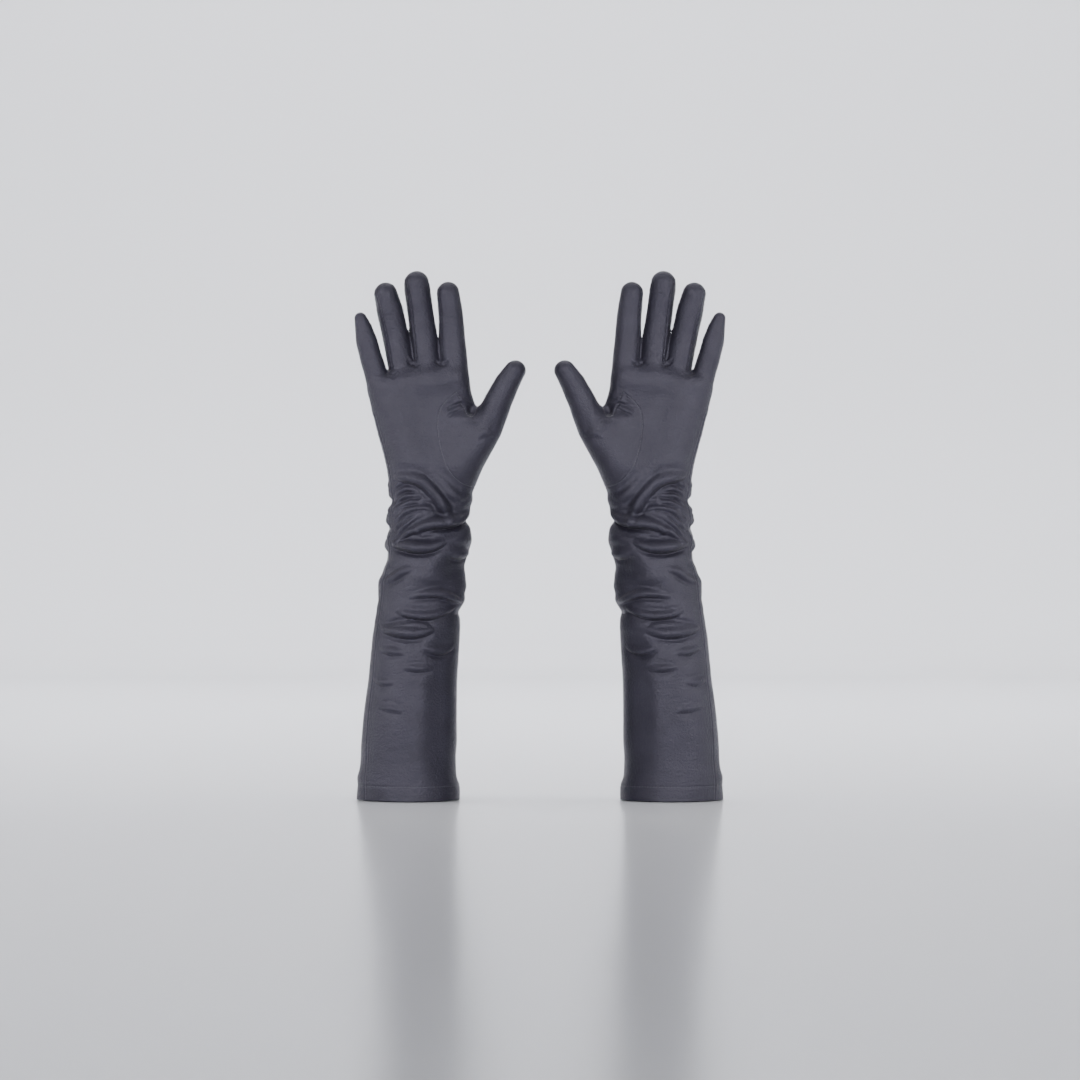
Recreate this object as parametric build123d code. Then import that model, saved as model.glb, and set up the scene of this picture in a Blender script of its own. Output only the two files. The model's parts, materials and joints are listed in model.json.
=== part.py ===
from build123d import *

import os
from math import hypot

# A pair of elbow-length opera gloves in soft black leather, standing upright on their hems.
#
# Each glove is cut like a real one: a trank, which is the one leather piece of arm, palm and back, a set-in thumb with
# its round gusset, five finger stalls, and the fourchettes, which are the narrow side strips of the fingers. A turned-up
# facing finishes the hem, and an elastic tape draws the wrist in along the side seam.
#
# The glove is modelled in its own frame and then placed: +Z up the arm, +X towards the thumb, -Y out of the palm, with
# the origin at the middle of the hem. The pair's frame has its origin on the floor, midway between the two gloves.

# Driving dimensions, in millimetres.
HALF_PAIR = 111.0  # from the pair's middle plane to each hem's middle
WALL = 1.0  # leather
SEAM = 0.15  # open line between two pieces that are sewn together
FACING = 0.9  # thickness of the turned-up hem leather
FACING_TOP = 9.5
HEM_STITCH_HEIGHT = 8.2
THREAD = 0.7  # width and height of a row of stitches
TAPE = 1.0  # thickness of the elastic tape
TAPE_WIDTH = 7.0
TAPE_BOTTOM, TAPE_TOP = 206.0, 262.0
SIDE_SEAM_TOP = 330.0
SIDE_SEAM_Y = -20.0  # the side seam starts this far in front of the glove's middle at the hem
SIDE_SEAM_LEAN = 2.4  # degrees that it leans back from there
BEND_GAP = 7.4  # half height of the soft stretch of a finger where it bends, at its front and back
FOURCHETTE_SHARE = 0.72  # a fourchette starts at this share of the finger's radius from its middle
FOURCHETTE_END = 6.0  # and ends this far below the fingertip
ROOT_DEPTH = 30.0  # how far a finger's cone runs down into the hand

# The hand and arm: height, sideways shift, half width and half depth of each oval section.
SECTIONS = [
    (0, 0, 43.3, 38.0),
    (28, -0.9, 40.2, 36.6),
    (70, 0, 39.2, 35.0),
    (105, 2.9, 37.0, 33.0),
    (140, 5.1, 36.5, 31.0),
    (175, 10.0, 35.7, 29.0),
    (220, 15.0, 35.5, 27.0),
    (254, 18.4, 33.3, 24.5),
    (270, 18.2, 34.0, 22.5),
    (302, 14.4, 37.4, 19.0),
    (336, 12.3, 43.6, 16.5),
    (353, 8.9, 44.4, 15.5),
    (368, 5.3, 43.0, 12.5),
]

# Each digit: the point on its axis at the crotch, the tip, the radius at each, how far past the crotch it bends, and
# the turn of its bending axis about the digit: fingers curl straight out of the palm, the thumb across it.
DIGITS = {
    "little": {"root": (-27.2, -1, 362), "tip": (-43, -6, 416.5), "radii": (8.9, 6.2), "bend": 14, "turn": 0},
    "ring": {"root": (-5.1, 0, 369), "tip": (-21.3, -6, 442.4), "radii": (10.2, 9.3), "bend": 16, "turn": 0},
    "middle": {"root": (15.3, 0, 371.5), "tip": (5.5, -5, 452), "radii": (10.3, 9.6), "bend": 16, "turn": 0},
    "index": {"root": (39.1, -1, 370), "tip": (31.9, -6, 442.9), "radii": (10.3, 9.3), "bend": 16, "turn": 0},
    "thumb": {"root": (72.7, -7, 336), "tip": (93.5, -10, 375.5), "radii": (11.2, 9.6), "bend": 8, "turn": -45},
}
# The sides of each finger that carry a fourchette: -1 away from the thumb, +1 towards it.
FOURCHETTES = {"little": (1,), "ring": (-1, 1), "middle": (-1, 1), "index": (-1,)}
SIDE_NAMES = {-1: "outer", 1: "inner"}

# The ball of the thumb, under the gusset: its two ends and radii.
THENAR_LOW, THENAR_HIGH = (43.5, -4.0, 283.5), (66.5, -6.5, 317.0)
THENAR_RADII = (17.0, 12.8)

# The gusset's seam on the palm, from the wrist round the ball of the thumb to the point under the index finger, and
# on the back of the hand, as (x, z). WEB is the crotch between the thumb and the index finger.
GUSSET_PALM = [(53, 266), (36.5, 284.8), (25.5, 306.9), (24.4, 326), (32.3, 347.6)]
GUSSET_BACK = [(53, 266), (50, 290), (50.5, 315)]
WEB = (57.4, 337.0)
REACH = 140.0  # well outside the glove
BELOW_HEM = -6.0


def slab(low, high):
    """A box between two corners."""
    size = [b - a for a, b in zip(low, high)]
    centre = [(a + b) / 2 for a, b in zip(low, high)]
    return Pos(*centre) * Box(*size)


def layer(low, high):
    """The whole space between two heights."""
    return slab((-REACH, -REACH, low), (REACH, REACH, high))


def sleeve(offset, bottom=0.0, top=SECTIONS[-1][0]):
    """The solid of the hand and arm, grown outwards by offset and cut level at bottom and top."""
    rows = [(BELOW_HEM, *SECTIONS[0][1:])] + SECTIONS
    ovals = [
        Pos(shift, 0, height) * Ellipse(half_width + offset, half_depth + offset)
        for height, shift, half_width, half_depth in rows
    ]
    return loft(ovals) & layer(bottom, top)


def skin(inner, outer, bottom, top):
    """A thin layer that follows the hand and arm, between two offsets from their surface."""
    return sleeve(outer, bottom, top) - sleeve(inner, bottom - 1, top + 1)


def digit_plane(digit):
    """The digit's own plane: its origin at the crotch, z along the digit and x across it."""
    root, tip = Vector(*digit["root"]), Vector(*digit["tip"])
    along = (tip - root).normalized()
    back = Vector(0, 1, 0)
    return Plane(origin=root, x_dir=back.cross(along), z_dir=along)


def digit_length(digit):
    return (Vector(*digit["tip"]) - Vector(*digit["root"])).length


def radius_at(digit, height):
    """The digit's outer radius at a height above the crotch, before its tip rounds over."""
    root_radius, tip_radius = digit["radii"]
    straight = digit_length(digit) - tip_radius
    return root_radius + (tip_radius - root_radius) * height / straight


def digit_solid(digit, inset, low, high=None):
    """The digit as a solid, inset from its surface, from low up to high or to its rounded tip."""
    length, tip_radius = digit_length(digit), digit["radii"][1]
    low_radius = radius_at(digit, low) - inset
    if high is not None:
        high_radius = radius_at(digit, high) - inset
        outline = Polyline((0, low), (low_radius, low), (high_radius, high), (0, high), close=True)
    else:
        top = tip_radius - inset
        shoulder = length - tip_radius
        side = Polyline((0, shoulder + top), (0, low), (low_radius, low), (top, shoulder))
        quarter = top * 0.5**0.5
        outline = side + ThreePointArc((top, shoulder), (quarter, shoulder + quarter), (0, shoulder + top))
    profile = make_face(Plane.XZ * outline)
    return digit_plane(digit) * revolve(profile, Axis.Z)


def bend_cylinder(digit, gap):
    """The round space about a digit's bending axis, gap more or less than the soft stretch."""
    radius = radius_at(digit, digit["bend"])
    across = Rot(0, 0, digit["turn"]) * Plane(origin=(0, 0, digit["bend"]), x_dir=(0, 1, 0), z_dir=(1, 0, 0))
    round_space = Cylinder(hypot(radius, BEND_GAP) + gap, 2 * radius + 1.2)
    return digit_plane(digit) * across * round_space


def stall_and_fourchettes(name, digit):
    """The part of a finger above its bend: the stall, and the fourchettes let into its sides."""
    bend, length = digit["bend"], digit_length(digit)
    tube = digit_solid(digit, 0, bend) - digit_solid(digit, WALL, bend - 1)
    tube -= bend_cylinder(digit, 0)
    pieces = {}
    radius = radius_at(digit, bend)
    stall = tube
    for side in FOURCHETTES.get(name, ()):
        near, far = FOURCHETTE_SHARE * radius, radius + 2
        low, high = bend - 1, length - FOURCHETTE_END

        def strip(grow):
            edges = sorted((side * (near - grow), side * far))
            box = slab((edges[0], -REACH, low), (edges[1], REACH, high + grow))
            return digit_plane(digit) * box

        pieces[f"{name}_fourchette_{SIDE_NAMES[side]}"] = tube & strip(0)
        stall -= strip(SEAM)
    pieces[f"{name}_stall"] = stall
    return pieces


def bend_leather(digit):
    """The soft ring of a digit between the hand and the stall, which creases when the digit bends."""
    bend, height = digit["bend"], 2.2 * BEND_GAP
    low, high = bend - height, bend + height
    ring = digit_solid(digit, 0, low, high) - digit_solid(digit, WALL, low - 1, high + 1)
    return ring & bend_cylinder(digit, -SEAM)


def thenar(inset):
    """The ball of the thumb as a tapered capsule, inset from its surface."""
    low, high = Vector(*THENAR_LOW), Vector(*THENAR_HIGH)
    radii = [radius - inset for radius in THENAR_RADII]
    plane = Plane(origin=low, x_dir=(high - low).cross(Vector(0, 1, 0)), z_dir=high - low)
    cone = plane * Pos(0, 0, (high - low).length / 2) * Cone(*radii, (high - low).length)
    return cone + Pos(*low) * Sphere(radii[0]) + Pos(*high) * Sphere(radii[1])


def hand_solid(inset, bottom=0.0):
    """The whole hand and arm with the roots of the digits, inset from its surface."""
    solid = sleeve(-inset, bottom, SECTIONS[-1][0] - inset) + thenar(inset)
    for digit in DIGITS.values():
        solid += digit_solid(digit, inset, -ROOT_DEPTH, digit["bend"] + max(inset, 0))
    return solid


def gusset_region(grow):
    """The space that the thumb's gusset is cut from: the ball and root of the thumb, to either side of its seam."""
    regions = []
    for seam, toward in ((GUSSET_PALM, -1), (GUSSET_BACK, 1)):
        (start_x, start_z), *between, (end_x, end_z) = seam
        start, end = (start_x - grow, start_z - grow), (end_x - grow, end_z + grow)
        curve = Spline(start, *[(x - grow, z) for x, z in between], end)
        above = (WEB[0] - grow, REACH * 3)
        rest = Polyline(end, (WEB[0] - grow, WEB[1] + grow), above, (REACH, REACH * 3), (REACH, start[1]), start)
        face = make_face(Plane.XZ * (curve + rest))
        regions.append(extrude(face, amount=REACH, dir=(0, toward, 0)))
    return regions[0] + regions[1]


def trank_and_gusset():
    """The hand and arm leather, parted at the thumb's seam."""
    leather = hand_solid(0) - hand_solid(WALL, bottom=-1)
    for digit in DIGITS.values():
        leather -= bend_cylinder(digit, 0)
    return {"trank": leather - gusset_region(SEAM), "thumb_gusset": leather & gusset_region(0)}


def thumb_stitching():
    """A row of stitches round the gusset, just outside its seam."""
    over_hand = hand_solid(-SEAM - THREAD) - hand_solid(-SEAM)
    row = gusset_region(THREAD) - gusset_region(0)
    return over_hand & row & layer(GUSSET_PALM[0][1] + THREAD, WEB[1])


def side_stitching():
    """A row of stitches up the side seam, from the hem to the root of the little finger."""
    upright = slab((-REACH, 0, 0), (0, THREAD, SIDE_SEAM_TOP))
    row = Pos(0, SIDE_SEAM_Y, 0) * Rot(-SIDE_SEAM_LEAN, 0, 0) * upright
    over_hand = skin(SEAM, SEAM + THREAD, 1, SIDE_SEAM_TOP)
    hem_row = layer(HEM_STITCH_HEIGHT - SEAM, HEM_STITCH_HEIGHT + THREAD + SEAM)
    return (over_hand & row) - hem_row


def trims():
    """The facing inside the hem, the elastic tape at the wrist and the rows of stitches."""
    inside = -WALL - SEAM
    tape_space = slab((-REACH, -TAPE_WIDTH / 2, TAPE_BOTTOM), (0, TAPE_WIDTH / 2, TAPE_TOP))
    return {
        "hem_facing": skin(inside - FACING, inside, 0.6, FACING_TOP),
        "wrist_elastic": skin(inside - TAPE, inside, TAPE_BOTTOM, TAPE_TOP) & tape_space,
        "hem_stitching": skin(SEAM, SEAM + THREAD, HEM_STITCH_HEIGHT, HEM_STITCH_HEIGHT + THREAD),
        "side_stitching": side_stitching(),
        "thumb_stitching": thumb_stitching(),
    }


def glove():
    """Every piece of one glove, by name, in the glove's own frame, with the thumb towards +X."""
    pieces = trank_and_gusset() | trims()
    for name, digit in DIGITS.items():
        pieces |= stall_and_fourchettes(name, digit)
        pieces[f"{name}_bend"] = bend_leather(digit)
    return pieces


def main():
    os.makedirs("parts", exist_ok=True)
    for name, piece in glove().items():
        right = Pos(-HALF_PAIR, 0, 0) * piece
        export_step(right, f"parts/right_{name}.step")
        export_step(mirror(right, about=Plane.YZ), f"parts/left_{name}.step")


main()
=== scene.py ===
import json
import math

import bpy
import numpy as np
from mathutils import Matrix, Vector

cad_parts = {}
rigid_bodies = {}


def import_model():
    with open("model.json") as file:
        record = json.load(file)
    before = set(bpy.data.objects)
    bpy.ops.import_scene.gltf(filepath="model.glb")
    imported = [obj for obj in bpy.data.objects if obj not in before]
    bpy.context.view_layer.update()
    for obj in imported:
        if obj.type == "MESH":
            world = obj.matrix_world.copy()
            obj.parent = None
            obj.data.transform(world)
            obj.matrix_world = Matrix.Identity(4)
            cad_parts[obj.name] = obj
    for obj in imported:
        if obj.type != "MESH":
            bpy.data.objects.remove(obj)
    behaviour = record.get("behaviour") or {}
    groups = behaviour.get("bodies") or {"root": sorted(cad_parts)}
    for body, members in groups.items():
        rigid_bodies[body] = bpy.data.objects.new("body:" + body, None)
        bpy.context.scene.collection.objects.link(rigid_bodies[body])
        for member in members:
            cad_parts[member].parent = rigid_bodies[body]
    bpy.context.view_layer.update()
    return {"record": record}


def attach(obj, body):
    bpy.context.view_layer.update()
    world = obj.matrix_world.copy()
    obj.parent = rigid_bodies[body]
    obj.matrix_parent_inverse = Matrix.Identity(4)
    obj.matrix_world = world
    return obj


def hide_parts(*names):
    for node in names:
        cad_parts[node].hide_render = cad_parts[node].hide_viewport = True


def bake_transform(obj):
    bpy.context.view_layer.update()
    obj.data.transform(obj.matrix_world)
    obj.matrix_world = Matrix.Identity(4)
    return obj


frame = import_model()

# A pair of elbow-length opera gloves in soft near-black nappa leather, standing on their hems, palms forward.
#
# Each glove is one leather skin. Its smooth form is a distance field of arm, palm and digits, meshed once, cut along its
# real seams, and then creased and gathered. The skin is parted into the pieces that a glover sews together, and each
# piece gets its thickness. Everything is worked out in millimetres in the right-hand glove's own frame, which has its
# origin at the middle of the hem, +X towards the thumb and -Y out of the palm. The left-hand glove is its mirror image.

MM = 0.001
MOUNTS = {mount["name"]: mount for mount in frame["record"]["mounts"]}
HALF_PAIR = MOUNTS["left_arm_opening"]["pos_m"][0] / MM

# Shape: millimetres in the glove's own frame

STEP = 1.3  # spacing of the mesh
LEATHER = 0.9  # thickness
# Height, sideways shift, half width and half depth of the hand and arm.
SECTIONS = np.array([
    (-10, -0.9, 44.4, 38.2),
    (0, -0.9, 44.2, 37.9),
    (10, -1.0, 43.8, 37.5),
    (20, -1.6, 42.3, 37.0),
    (31, -1.6, 40.9, 36.5),
    (50, -0.9, 40.8, 35.8),
    (71, 0.0, 40.1, 35.0),
    (98, 1.9, 38.4, 33.4),
    (126, 4.0, 37.7, 32.0),
    (153, 6.4, 36.6, 30.4),
    (175, 9.4, 36.2, 29.2),
    (200, 12.5, 35.3, 27.8),
    (222, 15.0, 35.4, 26.8),
    (242, 16.2, 34.8, 25.4),
    (256, 18.0, 34.7, 24.2),
    (270, 18.0, 36.2, 22.6),
    (290, 16.2, 37.5, 20.0),
    (310, 13.6, 40.0, 17.8),
    (330, 12.0, 43.5, 16.2),
    (345, 9.9, 45.2, 15.2),
    (356, 7.2, 45.3, 14.0),
    (368, 3.9, 45.3, 11.8),
    (385, 3.0, 44.0, 9.0),
])
# Where the palm ends between the fingers: across, and height.
KNUCKLES = np.array([(-40, 352), (-27, 357), (-15.2, 359), (4.3, 369), (27.3, 370), (45, 361), (56, 340)])

# The middle line of each digit from inside the hand to the tip, with its radius, and how far it is turned about itself.
DIGITS = {
    "little": {
        "line": [(-19, -1, 334, 9.6), (-28.6, -1, 361, 9.8), (-33.7, -1.5, 378, 9.5), (-37.1, -2.6, 391, 9.2),
                 (-39.7, -4, 402, 7.4), (-42.4, -5.6, 411, 5.1)],
        "root": (-27.2, -1, 362), "tip": (-43, -6, 416.5), "bend": 14, "twist": -8, "strip": 4.8,
    },
    "ring": {
        "line": [(-1.5, 0, 338, 10.6), (-7.0, 0, 369, 11.4), (-12.8, -0.4, 397, 10.9), (-17.4, -2.4, 418, 10.9),
                 (-21.0, -5, 432.0, 9.6)],
        "root": (-5.1, 0, 369), "tip": (-21.3, -6, 442.4), "bend": 16, "twist": -17, "strip": 5.9,
    },
    "middle": {
        "line": [(17, 0, 340, 10.8), (14.2, 0, 371.5, 11.6), (11.3, -0.3, 397, 11.3), (8.6, -1.8, 416, 10.6),
                 (6.3, -3.6, 434, 10.8), (5.4, -4.6, 441.3, 10.3)],
        "root": (15.3, 0, 371.5), "tip": (5.5, -5, 452), "bend": 16, "twist": -17, "strip": 6.1,
    },
    "index": {
        "line": [(41, -1, 340, 11.0), (37.6, -1, 370, 11.6), (35.9, -1.1, 391, 11.3), (34.9, -2.8, 412, 10.5),
                 (32.4, -5.2, 432.6, 9.5)],
        "root": (39.1, -1, 370), "tip": (31.9, -6, 442.9), "bend": 16, "twist": -6, "strip": 5.9,
    },
    "thumb": {
        "line": [(43.5, -2.8, 283.5, 16.2), (54, -3.6, 299.5, 15.6), (66.2, -5.4, 317, 12.9), (75.0, -7, 339.6, 12.0),
                 (82.9, -8, 355, 10.8), (89.9, -9.8, 366, 9.2)],
        "root": (72.7, -7, 336), "tip": (93.5, -10, 375.5), "bend": 8, "twist": -35, "strip": 5.0,
    },
}
# How far past the crotch each digit's own piece begins, where it has parted from its neighbours.
PART_AT = {"little": 5.0, "ring": 5.5, "middle": 5.5, "index": 5.5, "thumb": -2.5}
BEND_REACH = {"little": 9.0, "ring": 10.5, "middle": 10.5, "index": 10.5, "thumb": 10.5}
FOURCHETTES = {"little": (1,), "ring": (-1, 1), "middle": (-1, 1), "index": (-1,)}
SIDE_NAMES = {-1: "outer", 1: "inner"}
# The crotches between the fingers: across and height.
CROTCHES = [(-15.2, 363.8), (4.3, 373.6), (27.3, 374.6)]

# The thumb gusset's seam on the palm, up from the wrist to its point under the index finger and over to the crotch,
# and on the back of the hand, as (across, height).
GUSSET_PALM = [(53, 267), (47.4, 268.4), (41.8, 271.6), (36.3, 277.2), (31.6, 284.5), (28, 294), (25.6, 304), (24, 316),
               (24, 325), (26.4, 334), (31.6, 340.4), (36, 344.4), (39.9, 347.7)]
GUSSET_QUIRK = [(39.9, 347.7), (42.4, 343.4), (43.6, 338.4), (46.2, 334.4), (48.2, 329.6), (51.2, 326.9), (54.2, 328.2),
                (57.4, 336.0)]
GUSSET_BACK = [(53, 267), (50, 278), (48.5, 292), (50.5, 315), (57.4, 336.0)]
OUTSIDE_THUMB = [(60, 346), (62, 420), (150, 420), (150, 267)]
THUMB_DEPTH = -5.0  # the gusset's palm side lies in front of this depth

HEM_STITCHES = 12.0
SIDE_SEAM = (-20.0, 0.042)  # depth at the hem, and how far it moves back for each millimetre up
SIDE_SEAM_TOP = 330.0
SEAM_LIP = 0.8  # the mesh has an edge this far beside each seam, so that the lips stay crisp
HAND_FROM = 262.0  # the height where palm and digits join the arm
SLOUCH_TO = 292.0  # the arm's creases end at this height
PITCH = {"thumb": 2.3, "hem": 2.6, "side": 2.4, "finger": 2.6}  # of the stitches

# Creases. Each is a line of (degrees round the arm from the front towards the thumb, height), its height of ridge and
# its width. The leather swells above the line and tucks under just below it.
CREASES = [
    ([(-12, 282), (-3, 277.5), (9.5, 270), (22, 261.5), (40, 255.5), (66, 257)], 1.2, 7.0),
    ([(-58, 273.5), (-26, 271), (-11, 266.6), (2, 258.7), (15, 249.2), (25, 241), (31, 233)], 2.9, 8.4),
    ([(-46, 266), (-28, 263.5), (-12, 258.5), (-2, 252)], 0.8, 4.6),
    ([(-24, 226.5), (-9, 230.4), (8, 233.2), (30, 234.8), (54, 236.6), (70, 239.5), (84, 243)], 4.2, 7.2),
    ([(-20, 227), (-9, 225.6), (8, 226.6), (24, 228.4)], 0.7, 4.8),
    ([(-60, 217.2), (-37, 214.8), (-20, 213.0), (-5, 212.6), (9, 213.6), (21, 216.6), (30, 220)], 3.2, 6.6),
    ([(-56, 217), (-38, 223), (-22, 227.5), (-8, 227)], 1.1, 4.2),
    ([(30, 209), (48, 207), (70, 207), (92, 209)], 2.0, 6.4),
    ([(-68, 184), (-47, 187), (-28, 193), (-12, 197)], 1.3, 5.5),
    ([(-17, 171.5), (3, 173.6), (23, 174.2), (37, 172.6), (58, 169.0), (74, 167)], 2.1, 5.2),
    ([(-34, 161.5), (-12, 156.6), (7, 155.2), (25, 156.2), (43, 159.4), (60, 163)], 1.9, 5.2),
    ([(-46, 149), (-25, 151.4), (4, 151.4), (26, 147)], -0.9, 4.6),
    ([(-58, 145.5), (-27, 141.2), (-4, 139.8), (12, 141.2), (27, 144.6)], 2.3, 6.6),
    ([(10, 129), (25, 126), (45, 125.4), (64, 129)], 1.9, 5.6),
    ([(-52, 128), (-30, 124.8), (-12, 124.8)], 1.2, 5.0),
    ([(-14, 112.6), (5, 110.8), (28, 111.4)], 1.2, 4.6),
    ([(-62, 102), (-40, 98.8), (-22, 99.8)], 1.1, 4.8),
    ([(-44, 79.5), (-24, 76.6), (-7, 75)], 0.9, 4.6),
    ([(150, 228), (175, 222), (205, 224), (228, 232)], 3.0, 7.4),
    ([(120, 208), (148, 202), (182, 205), (214, 200), (240, 205)], 2.6, 7.0),
    ([(104, 190), (134, 184), (168, 187), (196, 181)], 2.2, 6.6),
    ([(182, 172), (212, 168), (246, 172), (268, 169)], 2.0, 6.4),
    ([(118, 160), (150, 153), (186, 158), (216, 152)], 2.3, 6.6),
    ([(196, 141), (228, 137), (262, 142)], 1.6, 6.0),
    ([(112, 133), (146, 128), (180, 131)], 1.4, 6.0),
    ([(150, 110), (184, 106), (220, 110)], 0.9, 5.6),
    ([(96, 92), (128, 88), (160, 91)], 0.7, 5.4),
    ([(140, 246), (168, 252), (200, 248), (232, 254)], 2.2, 6.2),
    ([(160, 268), (188, 265), (216, 270)], 1.5, 5.4),
    ([(104, 256), (124, 262), (146, 260)], 1.2, 5.0),
]
# Creases on the palm, each a line of (across, height) with its ridge and width.
PALM_CREASES = [
    ([(30.5, 337), (36.5, 340.6), (42.6, 342.6)], 0.9, 2.4),
    ([(31, 333.4), (37, 337.4), (43, 339.8), (48, 338.4), (54, 336.4)], 1.3, 2.8),
    ([(30, 327), (36, 330.6), (42.4, 333.6), (46.6, 334.2)], 1.2, 3.0),
    ([(57, 308.0), (64.5, 310.6), (73, 309)], 0.7, 5.0),
    ([(-21.4, 367), (-16.6, 363.4), (-11, 364.6)], 0.9, 2.4),
    ([(-2.6, 378), (2.6, 372.6), (8, 373.4)], 0.9, 2.4),
    ([(22, 376.6), (26.6, 372.4), (33.6, 374.6)], 0.9, 2.4),
]
# Swells and hollows of the palm: across, height, reach across and up, and how far out.
PALM_SWELLS = [
    (52.6, 331.6, 2.7, 3.5, -2.9),
    (50.6, 325.4, 3.8, 1.5, 1.1),
    (63.4, 318.0, 4.4, 6.4, 0.9),
    (71.0, 318.0, 4.0, 8.0, -0.7),
    (34.6, 341.5, 3.4, 3.0, 0.7),
    (-18.0, 360.0, 5.0, 3.0, 0.5),
    (2.0, 368.5, 5.0, 3.0, 0.5),
    (28.0, 368.5, 5.0, 3.0, 0.5),
]
# Fine gathers that fan out from the elastic at the side seam: lines as above, each with its height and width.
GATHERS = [
    ([(-58, 236), (-39, 243), (-16, 248), (8, 246.5)], 1.15, 3.4),
    ([(-58, 222), (-45, 226), (-31, 234), (-13, 242)], 1.1, 3.4),
    ([(-56, 229), (-42, 235.5), (-26, 242), (-12, 245)], 0.85, 3.0),
    ([(-60, 245), (-44, 250.5), (-24, 253), (-5, 251.5)], 1.0, 3.2),
    ([(-60, 251), (-46, 256), (-32, 258.5), (-10, 258.5)], 1.15, 3.4),
    ([(-22, 254.5), (-8, 255.5), (6, 253.5)], 0.8, 2.8),
    ([(-60, 258), (-48, 262), (-30, 264.5), (-14, 263)], 1.05, 3.4),
    ([(-62, 265), (-50, 268), (-36, 269.5)], 0.85, 3.0),
    ([(-112, 262), (-90, 258), (-66, 256)], 0.5, 3.6),
    ([(-118, 250), (-92, 247), (-66, 244)], 0.6, 3.6),
    ([(-114, 238), (-90, 236), (-66, 232)], 0.6, 3.6),
    ([(-120, 226), (-94, 226), (-66, 221)], 0.7, 4.0),
    ([(-128, 215), (-98, 214), (-70, 211)], 0.7, 4.4),
    ([(-116, 270), (-92, 268), (-70, 266)], 0.4, 3.2),
]
# Broad swells and hollows of the arm: degrees round, height, reach round and up in millimetres, and how far out.
SWELLS = [
    (78, 222, 24, 9.0, 2.2),
    (88, 238.6, 20, 3.6, -2.8),
    (86, 256, 14, 5.0, 0.8),
    (48, 196, 13, 9.0, -2.8),
    (18, 211, 7, 8.0, 1.3),
    (10, 200, 8, 8.0, 1.5),
    (0, 189, 9, 8.0, 1.1),
    (42, 183, 17, 5.5, -2.0),
    (40, 128, 13, 7.0, -1.6),
    (86, 200, 14, 6.0, -1.6),
    (86, 182, 14, 6.5, 1.8),
    (86, 171, 16, 5.0, 1.8),
    (86, 159.5, 20, 3.6, -2.2),
    (-85, 264, 12, 6.0, 1.8),
    (-86, 254, 12, 4.0, -0.9),
    (-86, 243, 12, 5.0, 2.0),
    (-86, 229, 12, 4.0, -2.4),
    (-88, 219, 12, 4.0, 1.8),
    (-84, 207, 14, 7.0, -1.8),
    (-85, 185, 14, 9.0, 2.6),
    (62, 148, 16, 8.0, 1.0),
    (86, 20, 18, 6.0, -0.8),
    (-86, 19, 14, 5.0, 1.2),
    (14, 76, 7, 50, 0.9),
    (38, 76, 10, 52, -1.5),
    (66, 80, 9, 44, 0.8),
    (-8, 48, 6, 34, -0.8),
    (-30, 60, 12, 34, 0.4),
    (170, 70, 16, 40, -0.9),
    (215, 90, 14, 30, 0.8),
    (182, 214, 26, 9.0, 1.6),
]


def hermite(x, xs, ys):
    """Smooth interpolation through a few rows of values."""
    slopes = np.gradient(ys, xs, axis=0)
    i = np.clip(np.searchsorted(xs, x) - 1, 0, len(xs) - 2)
    gap = (xs[i + 1] - xs[i])[:, None]
    t = np.clip((x - xs[i])[:, None] / gap, 0, 1)
    rise = ys[i + 1] - ys[i]
    blend = ys[i] + rise * t * t * (3 - 2 * t)
    return blend + gap * t * (1 - t) * ((1 - t) * slopes[i] - t * slopes[i + 1])


def section(height):
    """The sideways shift, half width and half depth of the hand and arm at each height."""
    return hermite(np.asarray(height, float), SECTIONS[:, 0], SECTIONS[:, 1:]).T


def smooth_min(a, b, reach):
    h = np.clip(0.5 + 0.5 * (b - a) / reach, 0, 1)
    return b + (a - b) * h - reach * h * (1 - h)


def smooth_max(a, b, reach):
    return -smooth_min(-a, -b, reach)


def unit(v):
    return v / np.maximum(np.linalg.norm(v, axis=-1, keepdims=True), 1e-9)


def digit_axes(digit):
    """Across, back and along directions of a digit, turned about itself."""
    along = unit(np.subtract(digit["tip"], digit["root"]).astype(float))
    across = unit(np.cross((0, 1, 0), along))
    back = np.cross(along, across)
    c, s = math.cos(math.radians(digit["twist"])), math.sin(math.radians(digit["twist"]))
    return across * c - back * s, across * s + back * c, along


def digit_place(digit, points):
    """Across, back and along position of each point, from the digit's own curved middle line, and the radius there."""
    across, back, along = digit_axes(digit)
    line = np.array(digit["line"], float)
    best = np.full(len(points), 1e9)
    offset, radius = np.zeros((len(points), 3)), np.zeros(len(points))
    for a, b in zip(line[:-1], line[1:]):
        span = b[:3] - a[:3]
        length = np.linalg.norm(span)
        t = (points - a[:3]) @ span / length**2
        beside = np.linalg.norm(points - a[:3] - t[:, None] * span, axis=1)
        lean = (b[3] - a[3]) / length
        t = np.clip(t + beside * lean / math.sqrt(1 - lean * lean) / length, 0, 1)
        away = points - a[:3] - t[:, None] * span
        r = a[3] + (b[3] - a[3]) * t
        d = np.linalg.norm(away, axis=1) - r
        near = d < best
        best[near], offset[near], radius[near] = d[near], away[near], r[near]
    return offset @ across, offset @ back, (points - digit["root"]) @ along, radius, offset @ along


def digit_distance(digit, points):
    """Distance to a digit, whose sides are flattened a little by its side strips."""
    across, back, _, radius, beyond = digit_place(digit, points)
    power = 2.0 if digit is DIGITS["thumb"] else 2.3
    ring = (np.abs(across) ** power + np.abs(back * 1.03) ** power) ** (1 / power)
    return np.hypot(ring, beyond) - radius


def capsule(points, a, b, ra, rb):
    a, b = np.array(a, float), np.array(b, float)
    span = b - a
    t = np.clip((points - a) @ span / (span @ span), 0, 1)
    return np.linalg.norm(points - a - t[:, None] * span, axis=1) - (ra + (rb - ra) * t)


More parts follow.
